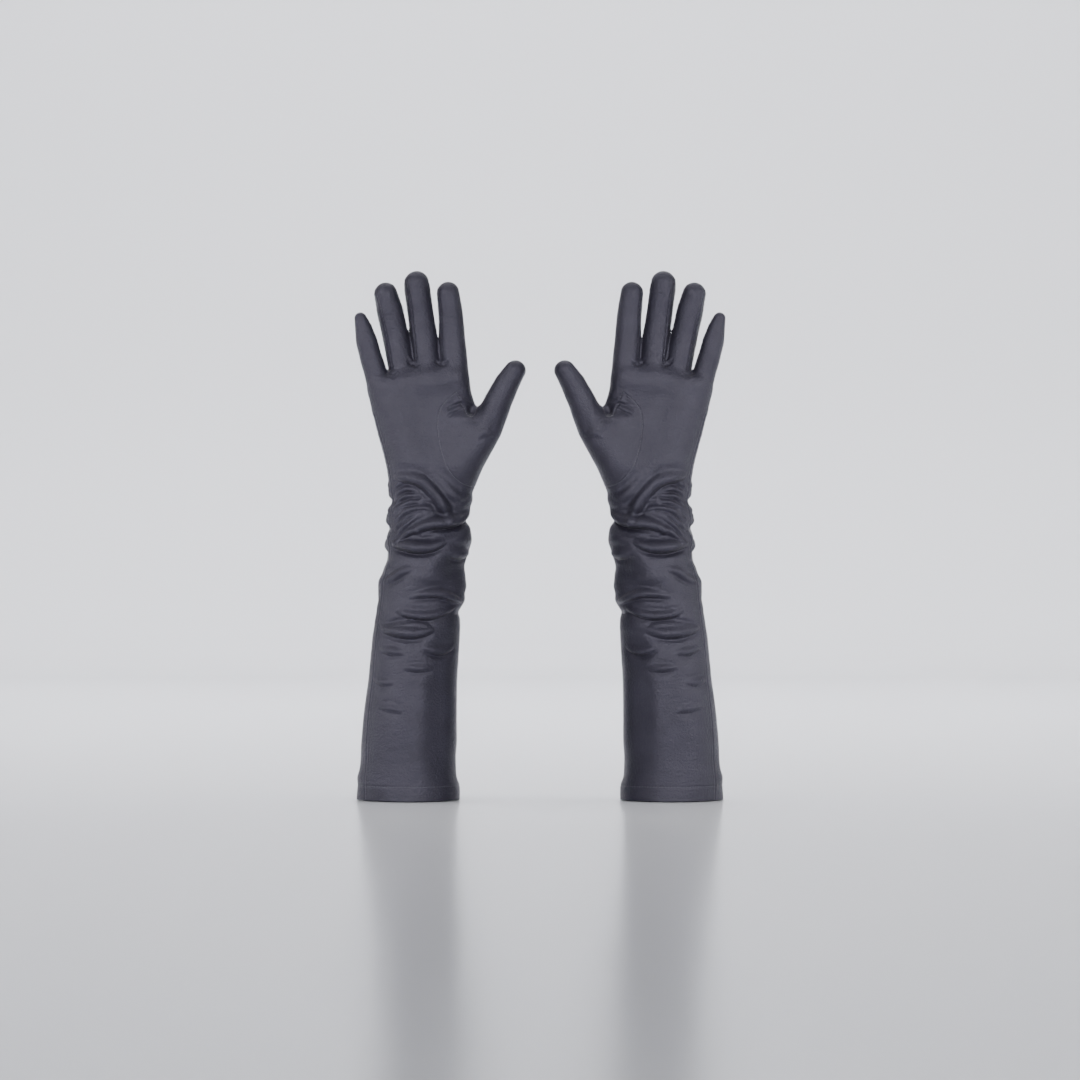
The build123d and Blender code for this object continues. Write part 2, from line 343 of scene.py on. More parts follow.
def sleeve_distance(points):
    shift, width, depth = section(points[:, 2])
    qx, qy = (points[:, 0] - shift) / width, points[:, 1] / depth
    k = np.hypot(qx, qy)
    slope = np.hypot(qx / width, qy / depth)
    return k * (k - 1) / np.maximum(slope, 1e-6)


def form(points):
    """Distance to the smooth form of the whole glove."""
    distance = sleeve_distance(points)
    high = points[:, 2] > HAND_FROM
    if not high.any():
        return distance
    p, d = points[high], distance[high]
    top = p[:, 2] - np.interp(p[:, 0], KNUCKLES[:, 0], KNUCKLES[:, 1])
    d = smooth_max(d, 0.9 * top, 9.0)
    d = smooth_min(d, capsule(p, (4, -5.0, 286), (-12, -3.2, 334), 12.0, 11.0), 16.0)
    d = smooth_min(d, capsule(p, (-20, -4.0, 354), (38, -4.6, 360), 8.4, 9.0), 12.0)
    d = smooth_min(d, capsule(p, (37, -3.0, 290), (46, -4.0, 318), 13.0, 11.5), 14.0)
    hollow = np.exp(-(((p[:, 0] - 12) / 17) ** 2) - ((p[:, 2] - 322) / 21) ** 2)
    d += 1.2 * hollow * np.clip(-p[:, 1] / 8, 0, 1)
    fingers = np.full(len(p), 1e9)
    for name in ("little", "ring", "middle", "index"):
        fingers = smooth_min(fingers, digit_distance(DIGITS[name], p), 2.6)
    d = smooth_min(d, fingers, 5.0)
    d = smooth_min(d, digit_distance(DIGITS["thumb"], p), 10.0)
    distance[high] = d
    return distance


def form_normals(points):
    e = 0.05
    parts = [form(points + np.eye(3)[k] * e) - form(points - np.eye(3)[k] * e) for k in range(3)]
    return unit(np.stack(parts, axis=1))


# Meshing and cutting

LOWEST, HIGHEST = np.array((-58.0, -44.0, -4.0)), np.array((106.0, 44.0, 460.0))


def surface_net(step):
    """A mesh of quads over the form, one point in each cell that the surface crosses."""
    counts = np.ceil((HIGHEST - LOWEST) / step).astype(int) + 1
    axes = [LOWEST[k] + step * np.arange(counts[k]) for k in range(3)]
    values = np.empty(counts)
    for i, x in enumerate(axes[0]):
        yy, zz = np.meshgrid(axes[1], axes[2], indexing="ij")
        slab = np.stack([np.full(yy.size, x), yy.ravel(), zz.ravel()], axis=1)
        values[i] = form(slab).reshape(counts[1], counts[2])
    inside = values < 0
    cells = counts - 1
    total, hits = np.zeros((*cells, 3)), np.zeros(cells)
    crossings = []
    for axis in range(3):
        low = [slice(None)] * 3
        high = [slice(None)] * 3
        low[axis], high[axis] = slice(None, -1), slice(1, None)
        a, b = values[tuple(low)], values[tuple(high)]
        cross = inside[tuple(low)] != inside[tuple(high)]
        share = np.where(cross, a / np.where(cross, a - b, 1), 0)
        crossings.append((cross, inside[tuple(low)]))
        others = [k for k in range(3) if k != axis]
        for du in (0, 1):
            for dv in (0, 1):
                window = [slice(None)] * 3
                window[others[0]] = slice(du, counts[others[0]] - 1 + du)
                window[others[1]] = slice(dv, counts[others[1]] - 1 + dv)
                c = cross[tuple(window)]
                hits += c
                total[..., axis] += share[tuple(window)]
                total[..., others[0]] += c * du
                total[..., others[1]] += c * dv
    mixed = hits > 0
    number = np.full(cells, -1)
    number[mixed] = np.arange(mixed.sum())
    corner = np.argwhere(mixed)
    points = LOWEST + step * (corner + total[mixed] / hits[mixed][:, None])
    quads = []
    for axis, (cross, starts_inside) in enumerate(crossings):
        u, v = [k for k in range(3) if k != axis]
        where = np.argwhere(cross)
        keep = (where[:, u] > 0) & (where[:, v] > 0) & (where[:, u] < cells[u]) & (where[:, v] < cells[v])
        where = where[keep]
        ring = []
        for du, dv in ((-1, -1), (0, -1), (0, 0), (-1, 0)):
            cell = where.copy()
            cell[:, u] += du
            cell[:, v] += dv
            ring.append(number[tuple(cell.T)])
        quad = np.stack(ring, axis=1)
        outward = starts_inside[tuple(where.T)] ^ (axis == 1)
        quad[~outward] = quad[~outward][:, ::-1]
        quads.append(quad)
    return points, np.concatenate(quads)


def relax(points, quads, rounds=4):
    """Evens out a mesh over the form and sets its points on the surface."""
    edges = np.unique(np.sort(np.concatenate([quads[:, [k, (k + 1) % 4]] for k in range(4)]), axis=1), axis=0)
    count = np.bincount(edges.ravel(), minlength=len(points))
    for _ in range(rounds):
        mean = np.zeros_like(points)
        for k in range(3):
            mean[:, k] = np.bincount(edges[:, 0], points[edges[:, 1], k], len(points))
            mean[:, k] += np.bincount(edges[:, 1], points[edges[:, 0], k], len(points))
        points = points + 0.5 * (mean / count[:, None] - points)
        for _ in range(2):
            points = points - form(points)[:, None] * form_normals(points)
    return points


def triangles(points, quads):
    """Each quad as two triangles, split along its shorter diagonal."""
    first = np.linalg.norm(points[quads[:, 0]] - points[quads[:, 2]], axis=1)
    second = np.linalg.norm(points[quads[:, 1]] - points[quads[:, 3]], axis=1)
    turn = second < first
    q = np.where(turn[:, None], quads[:, [1, 2, 3, 0]], quads)
    return np.concatenate([q[:, [0, 1, 2]], q[:, [0, 2, 3]]])


def cut(points, faces, field, active=None, snap=0.25):
    """Splits the faces along the line where field is zero, where active is true at both ends of an edge."""
    points = points.copy()
    value = field(points)
    on = np.ones(len(points), bool) if active is None else active(points)

    def crossing(a, b):
        return (value[a] * value[b] < 0) & on[a] & on[b]

    pairs = np.concatenate([faces[:, [k, (k + 1) % 3]] for k in range(3)])
    pairs = pairs[crossing(pairs[:, 0], pairs[:, 1])]
    a, b = pairs[:, 0], pairs[:, 1]
    share = value[a] / (value[a] - value[b])
    near = share < snap
    order = np.argsort(-share[near])
    a, b, share = a[near][order], b[near][order], share[near][order]
    moved = points[a] + share[:, None] * (points[b] - points[a])
    points[a] = moved
    value[a] = 0.0
    mixed = np.zeros(len(faces), bool)
    for k in range(3):
        mixed |= crossing(faces[:, k], faces[:, (k + 1) % 3])
    kept, split = faces[~mixed], faces[mixed]
    if not len(split):
        return points, faces
    edges = np.sort(np.concatenate([split[:, [k, (k + 1) % 3]] for k in range(3)]), axis=1)
    crosses = crossing(edges[:, 0], edges[:, 1])
    fresh, back = np.unique(edges[crosses], axis=0, return_inverse=True)
    share = value[fresh[:, 0]] / (value[fresh[:, 0]] - value[fresh[:, 1]])
    extra = points[fresh[:, 0]] + share[:, None] * (points[fresh[:, 1]] - points[fresh[:, 0]])
    middle = np.full(len(edges), -1)
    middle[crosses] = len(points) + back.ravel()
    middle = middle.reshape(3, -1).T
    crosses = crosses.reshape(3, -1).T
    made = [kept]
    for k in range(3):
        i, j, l = k, (k + 1) % 3, (k + 2) % 3
        single = crosses[:, i] & ~crosses[:, j] & ~crosses[:, l]
        f, m = split[single], middle[single]
        made += [np.stack([f[:, i], m[:, i], f[:, l]], 1), np.stack([m[:, i], f[:, j], f[:, l]], 1)]
        double = crosses[:, i] & crosses[:, l] & ~crosses[:, j]
        f, m = split[double], middle[double]
        made += [
            np.stack([f[:, i], m[:, i], m[:, l]], 1),
            np.stack([m[:, i], f[:, j], f[:, l]], 1),
            np.stack([m[:, i], f[:, l], m[:, l]], 1),
        ]
    return np.concatenate([points, extra]), np.concatenate(made)


def compact(points, faces):
    used, faces = np.unique(faces, return_inverse=True)
    return points[used], faces.reshape(-1, 3)


def mesh_normals(points, faces):
    a, b, c = (points[faces[:, k]] for k in range(3))
    flat = np.cross(b - a, c - a)
    total = np.zeros_like(points)
    for k in range(3):
        for j in range(3):
            total[:, j] += np.bincount(faces[:, k], flat[:, j], len(points))
    return unit(total)


# Seams: each is a field that is zero along the seam


def smooth_line(corners, parts=8):
    """A smooth open curve through a few corners (Catmull-Rom)."""
    p = np.array(corners, float)
    p = np.concatenate([[2 * p[0] - p[1]], p, [2 * p[-1] - p[-2]]])
    out = []
    for i in range(1, len(p) - 2):
        for t in np.arange(parts) / parts:
            a = 2 * p[i] + (p[i + 1] - p[i - 1]) * t
            b = (2 * p[i - 1] - 5 * p[i] + 4 * p[i + 1] - p[i + 2]) * t**2
            c = (3 * p[i] - p[i - 1] - 3 * p[i + 1] + p[i + 2]) * t**3
            out.append((a + b + c) / 2)
    return np.array(out + [p[-2]])


def outline_distance(points, outline):
    """Signed distance in a plane to a closed outline, negative inside."""
    best = np.full(len(points), 1e9)
    inside = np.zeros(len(points), bool)
    x, y = points[:, 0], points[:, 1]
    for a, b in zip(outline, np.roll(outline, -1, axis=0)):
        span = b - a
        t = np.clip(((points - a) @ span) / max(span @ span, 1e-9), 0, 1)
        best = np.minimum(best, np.linalg.norm(points - a - t[:, None] * span, axis=1))
        if a[1] != b[1]:
            passes = (a[1] > y) != (b[1] > y)
            inside ^= passes & (x < span[0] * (y - a[1]) / span[1] + a[0])
    return np.where(inside, -best, best)


PALM_OUTLINE = np.concatenate([smooth_line(GUSSET_PALM), smooth_line(GUSSET_QUIRK)[1:], OUTSIDE_THUMB])
BACK_OUTLINE = np.concatenate([smooth_line(GUSSET_BACK), OUTSIDE_THUMB])


def gusset_field(points):
    """Negative on the thumb and its gusset."""
    flat = points[:, [0, 2]]
    value = np.full(len(points), 60.0)
    near = (points[:, 0] > 8) & (points[:, 2] > 250)
    front = near & (points[:, 1] < THUMB_DEPTH)
    back = near & ~front
    value[front] = outline_distance(flat[front], PALM_OUTLINE)
    value[back] = outline_distance(flat[back], BACK_OUTLINE)
    return value


def part_field(name):
    """Positive on a digit beyond where its own piece begins."""
    digit = DIGITS[name]
    along = digit_axes(digit)[2]

    def field(points):
        return (points - digit["root"]) @ along - PART_AT[name]

    return field


def on_digit(name):
    """True near a digit, and no nearer to another."""

    def near(points):
        out = np.zeros(len(points), bool)
        high = points[:, 2] > 300
        p = points[high]
        own = digit_distance(DIGITS[name], p)
        mine = own < 4.5
        for other in DIGITS:
            if other != name:
                mine &= own <= digit_distance(DIGITS[other], p)
        out[high] = mine
        return out

    return near


def past_crotch(name):
    """True on a digit's own piece."""
    past, near = part_field(name), on_digit(name)
    return lambda points: (past(points) > 0.2) & near(points)


def strip_field(name, side):
    """Negative on a finger's side strip, which narrows to a point below the tip."""
    digit = DIGITS[name]
    length = np.linalg.norm(np.subtract(digit["tip"], digit["root"]))

    def field(points):
        value = np.full(len(points), 30.0)
        high = points[:, 2] > 340
        across, back, along, radius, _ = digit_place(digit, points[high])
        taper = np.clip((length - 4.5 - along) / 17.0, -0.3, 1)
        width = digit["strip"] * np.where(taper > 0, np.sqrt(np.abs(taper)), taper * 6)
        own = np.abs(back) - width
        value[high] = np.where(across * side > 0.15 * radius, own, 30.0)
        return value

    return field


def web_field(points):
    """Negative on the small points of leather that the side strips end in, between the fingers."""
    value = np.full(len(points), 30.0)
    for x, z in CROTCHES:
        own = 0.62 * np.abs(points[:, 0] - x) - 0.78 * (points[:, 2] - (z - 5.0))
        value = np.minimum(value, np.where(np.abs(points[:, 0] - x) < 7.0, own, 30.0))
    return value


def at_web(points):
    out = np.zeros(len(points), bool)
    for x, z in CROTCHES:
        out |= (np.abs(points[:, 0] - x) < 5.2) & (np.abs(points[:, 2] - z) < 7.5)
    return out


def side_field(points):
    return points[:, 1] - SIDE_SEAM[0] - SIDE_SEAM[1] * points[:, 2]


def at_side(points):
    shift = section(points[:, 2])[0]
    return (points[:, 0] < shift - 6) & (points[:, 2] < SIDE_SEAM_TOP)


def hem_field(points):
    return points[:, 2] - HEM_STITCHES


def thumb_seam_field(points):
    """The seam up the thumb's side that faces the index finger."""
    value = np.full(len(points), 30.0)
    high = points[:, 2] > 320
    across, back, _, _, _ = digit_place(DIGITS["thumb"], points[high])
    value[high] = np.where(across < 0, back, 30.0)
    return value


def at_thumb_seam(points):
    digit = DIGITS["thumb"]
    across, _, along, _, _ = digit_place(digit, points)
    length = np.linalg.norm(np.subtract(digit["tip"], digit["root"]))
    return on_digit("thumb")(points) & (across < -2) & (along > 1.5) & (along < length - 5)


# Creases

ROUND = 34.0  # millimetres round the arm for each radian
DEPTH_OF_CREASES = 1.25


def angle_round(points):
    shift, width, depth = section(points[:, 2])
    return np.arctan2((points[:, 0] - shift) / width, -points[:, 1] / depth)


def crease_push(across, height, path, ridge, width, turn=None):
    """How far one crease moves each point outwards and down."""
    middle = (path[0, 0] + path[-1, 0]) / 2
    s = across if turn is None else middle + (across - middle + turn / 2) % turn - turn / 2
    out, down = np.zeros(len(s)), np.zeros(len(s))
    lo, hi = path.min(0) - 2.6 * width, path.max(0) + 2.6 * width
    near = (s > lo[0]) & (s < hi[0]) & (height > lo[1]) & (height < hi[1])
    if not near.any():
        return out, down
    p = np.stack([s[near], height[near]], axis=1)
    lengths = np.concatenate([[0], np.cumsum(np.linalg.norm(np.diff(path, axis=0), axis=1))])
    best, signed, place = np.full(len(p), 1e9), np.zeros(len(p)), np.zeros(len(p))
    for i, (a, b) in enumerate(zip(path[:-1], path[1:])):
        span = b - a
        t = np.clip((p - a) @ span / (span @ span), 0, 1)
        away = p - a - t[:, None] * span
        d = np.linalg.norm(away, axis=1)
        closer = d < best
        below = span[1] * away[:, 0] - span[0] * away[:, 1]
        best[closer] = d[closer]
        signed[closer] = np.where(below[closer] > 0, d[closer], -d[closer])
        place[closer] = (lengths[i] + t[closer] * np.linalg.norm(span)) / lengths[-1]
    fade = np.clip(4 * place * (1 - place), 0, 1)
    w = width * (0.55 + 0.45 * fade)
    d = signed / w
    swell = np.exp(-(((d + 0.5) / 0.54) ** 2)) - 0.4 * np.exp(-(((d + 1.4) / 0.6) ** 2))
    tuck = 0.95 * np.exp(-(((d - 0.4) / 0.4) ** 2)) + 0.25 * np.exp(-(((d - 1.1) / 0.5) ** 2))
    out[near] = ridge * fade * (swell - tuck)
    down[near] = 0.55 * ridge * fade * np.exp(-(((d + 0.18) / 0.42) ** 2))
    return out, down


def waves(points, scale, seed, count=7):
    """Gentle unevenness: a few waves in fixed directions, from -1 to 1."""
    rng = np.random.default_rng(seed)
    total = np.zeros(len(points))
    for _ in range(count):
        direction = unit(rng.normal(size=3)) / (np.array(scale) * rng.uniform(0.7, 1.5))
        total += np.sin(points @ direction * 2 * math.pi + rng.uniform(0, 6.28))
    return total / count * 1.6


def creased(points, normals):
    """The leather's points after slouching, gathering and small wrinkles."""
    angle, height = angle_round(points), points[:, 2]
    arm = height < SLOUCH_TO
    out, down = np.zeros(len(points)), np.zeros(len(points))
    turn = 2 * math.pi * ROUND
    for line, ridge, width in CREASES + GATHERS:
        ridge *= DEPTH_OF_CREASES
        path = smooth_line([(math.radians(a) * ROUND, z) for a, z in line], 5)
        o, d = crease_push(angle[arm] * ROUND, height[arm], path, ridge, width, turn)
        out[arm] += o
        down[arm] += d
    palm = (height > SLOUCH_TO) & (points[:, 1] < 0)
    facing = np.clip(-points[palm, 1] / 5, 0, 1)
    for line, ridge, width in PALM_CREASES:
        o, d = crease_push(points[palm, 0], height[palm], smooth_line(line, 5), ridge, width)
        out[palm] += o * facing
        down[palm] += d * facing
    for x, z, reach_across, reach_up, rise in PALM_SWELLS:
        away = ((points[palm, 0] - x) / reach_across) ** 2 + ((height[palm] - z) / reach_up) ** 2
        out[palm] += rise * np.exp(-away) * facing
    for degrees, level, reach_round, reach_up, rise in SWELLS:
        away = (angle - math.radians(degrees) + math.pi) % (2 * math.pi) - math.pi
        bump = np.exp(-((away * ROUND / reach_round) ** 2) - ((height - level) / reach_up) ** 2)
        out += rise * bump * arm
    on_arm = np.clip((298 - height) / 50, 0, 1)
    on_arm *= on_arm * (3 - 2 * on_arm)
    slouch = np.exp(-(((height - 205) / 62) ** 2)) * on_arm
    out += (0.35 + 0.5 * slouch) * waves(points, (60, 60, 34), 3) * on_arm
    out += (0.07 + 0.42 * slouch) * waves(points, (38, 38, 11), 8) * on_arm
    gathered = np.exp(-(((angle + 0.72) / 0.42) ** 2) - ((height - 247) / 19) ** 2)
    out += 0.75 * gathered * waves(points, (15, 15, 6.5), 17)
    hand = 1 - on_arm
    out += 0.25 * waves(points, (30, 30, 22), 5) * hand
    out += 0.05 * waves(points, (26, 26, 6), 12) * hand
    edge = np.exp(-(((points[:, 0] - section(height)[0] + section(height)[1]) / 15) ** 2))
    puckers = waves(points, (40, 26, 4.6), 21) * np.clip((height - 262) / 12, 0, 1)
    out += 0.13 * puckers * edge * np.clip((380 - height) / 8, 0, 1)
    low = np.clip((14 - height) / 14, 0, 1)
    out += 0.9 * low * np.sin(3 * angle + 0.8) + 0.5 * low * np.sin(5 * angle + 2.0)
    moved = points + out[:, None] * normals
    moved[:, 2] -= down
    return moved


def relief(distance, depth=0.5, lip=0.28, reach=1.35):
    """A sewn seam's profile: a narrow valley between two soft lips."""
    d = np.abs(distance)
    return -depth * np.exp(-((d / 0.42) ** 2)) + lip * np.exp(-(((d - reach) / 0.8) ** 2))


def seam_push(points):
    """How far the seams move each point along its normal."""
    height = points[:, 2]
    push = relief(gusset_field(points), 0.4, 0.22)
    strips = np.full(len(points), 30.0)
    for name, sides in FOURCHETTES.items():
        near = on_digit(name)(points)
        for side in sides:
            value = np.abs(strip_field(name, side)(points))
            strips = np.where(near, np.minimum(strips, value), strips)
    web = at_web(points)
    strips = np.where(web, np.minimum(strips, np.abs(web_field(points))), strips)
    ruffle = 1 + 0.5 * np.sin(height * 2 * math.pi / 4.3)
    push += relief(strips, 0.5, 0.22) * np.where(strips < 6, ruffle, 1)
    side = at_side(points)
    push += np.where(side, relief(side_field(points), 0.45, 0.25), 0)
    push += np.where(height < 20, relief(hem_field(points), 0.3, 0.15, 1.6), 0)
    thumb = at_thumb_seam(points)
    push += np.where(thumb, relief(thumb_seam_field(points), 0.4, 0.25), 0)
    return push


# The skin of one glove, and its pieces


def glove_skin():
    """The seams cut into the smooth mesh, then the leather's creases. Returns smooth and final points, and faces."""
    points, quads = surface_net(STEP)
    points = relax(points, quads)
    faces = triangles(points, quads)
    points, faces = cut(points, faces, lambda p: p[:, 2])
    above = points[faces][:, :, 2].sum(axis=1) > 0
    points, faces = compact(points, faces[above])
    points[:, 2] = np.maximum(points[:, 2], 0)
    for field, active in ((gusset_field, None), (side_field, at_side)):
        for offset in (0.0, -SEAM_LIP, SEAM_LIP):
            points, faces = cut(points, faces, lambda p, o=offset, f=field: f(p) - o, active)
    points, faces = cut(points, faces, hem_field)
    for name, sides in FOURCHETTES.items():
        for side in sides:
            field = strip_field(name, side)
            for offset in (0.0, SEAM_LIP):
                points, faces = cut(points, faces, lambda p, o=offset, f=field: f(p) - o, on_digit(name))
    points, faces = cut(points, faces, web_field, at_web)
    points, faces = cut(points, faces, thumb_seam_field, at_thumb_seam)
    for name in DIGITS:
        points, faces = cut(points, faces, part_field(name), on_digit(name))
    normals = mesh_normals(points, faces)
    moved = creased(points, normals) + seam_push(points)[:, None] * normals
    moved[:, 2] = np.where(points[:, 2] < 0.01, 0, np.maximum(moved[:, 2], 0))
    return points, moved, faces


def face_value(field, points, faces):
    """A field's value for each face, from its corners, which decides the face's side of the line."""
    return field(points)[faces].sum(axis=1)


def piece_labels(points, faces):
    """The name of the piece that each face belongs to."""
    labels = np.full(len(faces), "trank", dtype=object)
    labels[face_value(gusset_field, points, faces) < 0] = "thumb_gusset"
    for name in DIGITS:
        near = on_digit(name)(points)[faces].sum(axis=1) >= 2
        beyond = near & (face_value(part_field(name), points, faces) > 0)
        labels[beyond] = name
        for side in FOURCHETTES.get(name, ()):
            strip = beyond & (face_value(strip_field(name, side), points, faces) < 0)
            labels[strip] = f"{name}_fourchette_{SIDE_NAMES[side]}"
    return labels


def open_edges(faces):
    """The edges that only one face has, in that face's order."""
    edges = np.concatenate([faces[:, [k, (k + 1) % 3]] for k in range(3)])
    _, first, count = np.unique(np.sort(edges, axis=1), axis=0, return_index=True, return_counts=True)
    return edges[first[count == 1]]


def with_thickness(points, normals, faces, thickness):
    """A sheet as a closed shell of leather: its outside, its inside and its cut edges."""
    used, faces = np.unique(faces, return_inverse=True)
    faces = faces.reshape(-1, 3)
    outside, out_normals = points[used], normals[used]
    count = len(outside)
    rim = open_edges(faces)
    a, b = rim[:, 0], rim[:, 1]
    walls = np.concatenate([np.stack([b, a, a + count], 1), np.stack([b, a + count, b + count], 1)])
    every = np.concatenate([faces, faces[:, ::-1] + count, walls])
    inside = outside - thickness * out_normals
    inner = np.concatenate([np.zeros(len(faces), int), np.ones(len(faces) + len(walls), int)])
    return np.concatenate([outside, inside]), np.concatenate([out_normals, -out_normals]), every, inner


def chains(edges):
    """Ordered runs of points along a set of edges."""
    links = {}
    for a, b in edges:
        links.setdefault(int(a), []).append(int(b))
        links.setdefault(int(b), []).append(int(a))
    starts = [p for p, near in links.items() if len(near) == 1] + list(links)
    used, runs = set(), []
    for start in starts:
        for step in links[start]:
            if (start, step) in used:
                continue
            run, last, here = [start], start, step
            while True:
                used.update({(last, here), (here, last)})
                run.append(here)
                ahead = [n for n in links[here] if (here, n) not in used]
                if not ahead or len(links[here]) > 2:
                    break
                last, here = here, ahead[0]
            runs.append(run)
    return runs


def seam_runs(points, faces, field, active=None, shortest=6):
    """Ordered runs of points along the line where a field is zero."""
    positive = face_value(field, points, faces) > 0
    chosen = np.ones(len(faces), bool) if active is None else active(points)[faces].all(axis=1)
    sets = []
    for side in (positive & chosen, ~positive & chosen):
        edges = np.concatenate([faces[side][:, [k, (k + 1) % 3]] for k in range(3)])
        sets.append({tuple(e) for e in np.unique(np.sort(edges, axis=1), axis=0).tolist()})
    return [run for run in chains(sorted(sets[0] & sets[1])) if len(run) >= shortest]


STITCH_LENGTH, STITCH_RADIUS = 1.5, 0.24


def stitches(moved, normals, runs, pitch, aside=0.0, lift=0.05):
    """Small rounded stitches laid end to end along runs of points."""
    points, faces = [], []
    rings = [(-0.5, 0.35), (-0.36, 1.0), (0.36, 1.0), (0.5, 0.35)]
    sides = 6
    total = 0
    for run in runs:
        line, up = moved[run], normals[run]
        for _ in range(3):
            line[1:-1] = (line[:-2] + 2 * line[1:-1] + line[2:]) / 4
        lengths = np.concatenate([[0], np.cumsum(np.linalg.norm(np.diff(line, axis=0), axis=1))])

        def along(marks, values, lengths=lengths):
            return np.stack([np.interp(marks, lengths, values[:, k]) for k in range(3)], axis=1)

        marks = np.arange(pitch / 2, lengths[-1] - pitch / 3, pitch)
        here, n = along(marks, line), unit(along(marks, up))
        t = unit(along(marks + 0.5, line) - along(marks - 0.5, line))
        b = unit(np.cross(t, n))
        n = np.cross(b, t)
        here = here + lift * n + aside * b
        for p, tt, nn, bb in zip(here, t, n, b):
            for place, size in rings:
                for i in range(sides):
                    turn = 2 * math.pi * i / sides
                    off = STITCH_RADIUS * size * (math.cos(turn) * bb + 0.8 * math.sin(turn) * nn)
                    dip = 0.12 * (abs(place) > 0.4) * nn
                    points.append(p + STITCH_LENGTH * place * tt + off - dip)
            for r in range(len(rings) - 1):
                for i in range(sides):
                    a, c = total + r * sides + i, total + r * sides + (i + 1) % sides
                    faces.append((a, c, c + sides, a + sides))
            faces.append(tuple(total + i for i in reversed(range(sides))))
            faces.append(tuple(total + (len(rings) - 1) * sides + i for i in range(sides)))
            total += len(rings) * sides
    return np.array(points).reshape(-1, 3), faces


# Materials


class Nodes:
    """A new material's node tree, with short calls to add nodes and join them."""

    def __init__(self, name):
        self.material = bpy.data.materials.new(name)
        self.material.use_nodes = True
        self.tree = self.material.node_tree
        self.shader = self.tree.nodes["Principled BSDF"]
        coordinates = self.tree.nodes.new("ShaderNodeTexCoord")
        self.place = coordinates.outputs["Object"]

    def join(self, source, target):
        self.tree.links.new(source, target)

    def node(self, kind, **inputs):
        node = self.tree.nodes.new(kind)
        for key, value in inputs.items():
            socket = node.inputs[key.replace("_", " ")]
            if isinstance(value, bpy.types.NodeSocket):
                self.join(value, socket)
            else:
                socket.default_value = value
        return node

    def noise(self, scale, detail=3.0, roughness=0.55, vector=None):
        node = self.node("ShaderNodeTexNoise", Scale=scale, Detail=detail, Roughness=roughness)
        self.join(vector or self.place, node.inputs["Vector"])
        return node.outputs["Fac"]

    def stretched(self, scale):
        mapping = self.node("ShaderNodeMapping", Vector=self.place)
        mapping.inputs["Scale"].default_value = scale
        return mapping.outputs["Vector"]

    def cells(self, scale):
        node = self.node("ShaderNodeTexVoronoi", Scale=scale)
        node.feature = "DISTANCE_TO_EDGE"
        self.join(self.place, node.inputs["Vector"])
        return node.outputs["Distance"]

    def math(self, operation, a, b=0.0, c=0.0):
        node = self.tree.nodes.new("ShaderNodeMath")
        node.operation = operation
        for socket, value in zip(node.inputs, (a, b, c)):
            if isinstance(value, bpy.types.NodeSocket):
                self.join(value, socket)
            else:
                socket.default_value = value
        return node.outputs[0]

    def ramp(self, factor, stops):
        node = self.tree.nodes.new("ShaderNodeValToRGB")
        self.join(factor, node.inputs["Fac"])
        elements = node.color_ramp.elements
        while len(elements) < len(stops):
            elements.new(0.5)
        for element, (position, color) in zip(elements, stops):
            element.position = position
            element.color = (*color, 1)
        return node.outputs["Color"]

    def bump(self, height, distance, strength=1.0, before=None):
        node = self.node("ShaderNodeBump", Strength=strength, Distance=distance, Height=height)
        if before is not None:
            self.join(before, node.inputs["Normal"])
        return node.outputs["Normal"]


def leather_material():
    """Smooth aniline nappa: fine pebbled grain, faint stretch wrinkles, a soft satin surface and slight wear."""
    n = Nodes("nappa_leather")
    shade = n.noise(38, 4)
    tone = n.ramp(shade, [(0.3, (0.009, 0.008, 0.0145)), (0.7, (0.016, 0.0145, 0.024))])
    n.join(tone, n.shader.inputs["Base Color"])
    gloss = n.noise(120, 4)
    n.join(n.math("MULTIPLY_ADD", gloss, 0.18, 0.34), n.shader.inputs["Roughness"])
    grain = n.math("MINIMUM", n.cells(1500), 0.12)
    fine = n.noise(2600, 2)
    creases = n.noise(55, 5, 0.6, n.stretched((1, 1, 4.5)))
    pebbles = n.noise(520, 3, 0.6)
    normal = n.bump(creases, 0.0008, 0.4)
    normal = n.bump(pebbles, 0.0010, 0.6, normal)
    normal = n.bump(grain, 0.0008, 0.45, normal)
    normal = n.bump(fine, 0.00016, 0.45, normal)
    n.join(normal, n.shader.inputs["Normal"])
    n.shader.inputs["Specular IOR Level"].default_value = 0.5
    n.shader.inputs["Specular Tint"].default_value = (0.86, 0.83, 1.0, 1)
    n.shader.inputs["Sheen Weight"].default_value = 0.05
    n.shader.inputs["Sheen Roughness"].default_value = 0.4
    return n.material


def inside_material():
    """The flesh side of the leather: matt and fibrous."""
    n = Nodes("leather_flesh_side")
    tone = n.ramp(n.noise(420, 5, 0.65), [(0.3, (0.028, 0.027, 0.030)), (0.75, (0.060, 0.057, 0.062))])
    n.join(tone, n.shader.inputs["Base Color"])
    n.shader.inputs["Roughness"].default_value = 0.9
    n.shader.inputs["Sheen Weight"].default_value = 0.25
    n.join(n.bump(n.noise(900, 4), 0.0003, 0.7), n.shader.inputs["Normal"])
    return n.material


def thread_material():
    """Twisted thread, a little shinier and lighter than the leather."""
    n = Nodes("thread")
    wave = n.node("ShaderNodeTexWave", Scale=900.0, Distortion=1.0, Vector=n.place)
    wave.bands_direction = "DIAGONAL"
    tone = n.ramp(wave.outputs["Fac"], [(0.2, (0.050, 0.048, 0.062)), (0.8, (0.105, 0.100, 0.125))])
    n.join(tone, n.shader.inputs["Base Color"])
    n.shader.inputs["Roughness"].default_value = 0.5
    n.join(n.bump(wave.outputs["Fac"], 0.0001, 0.6), n.shader.inputs["Normal"])
    return n.material


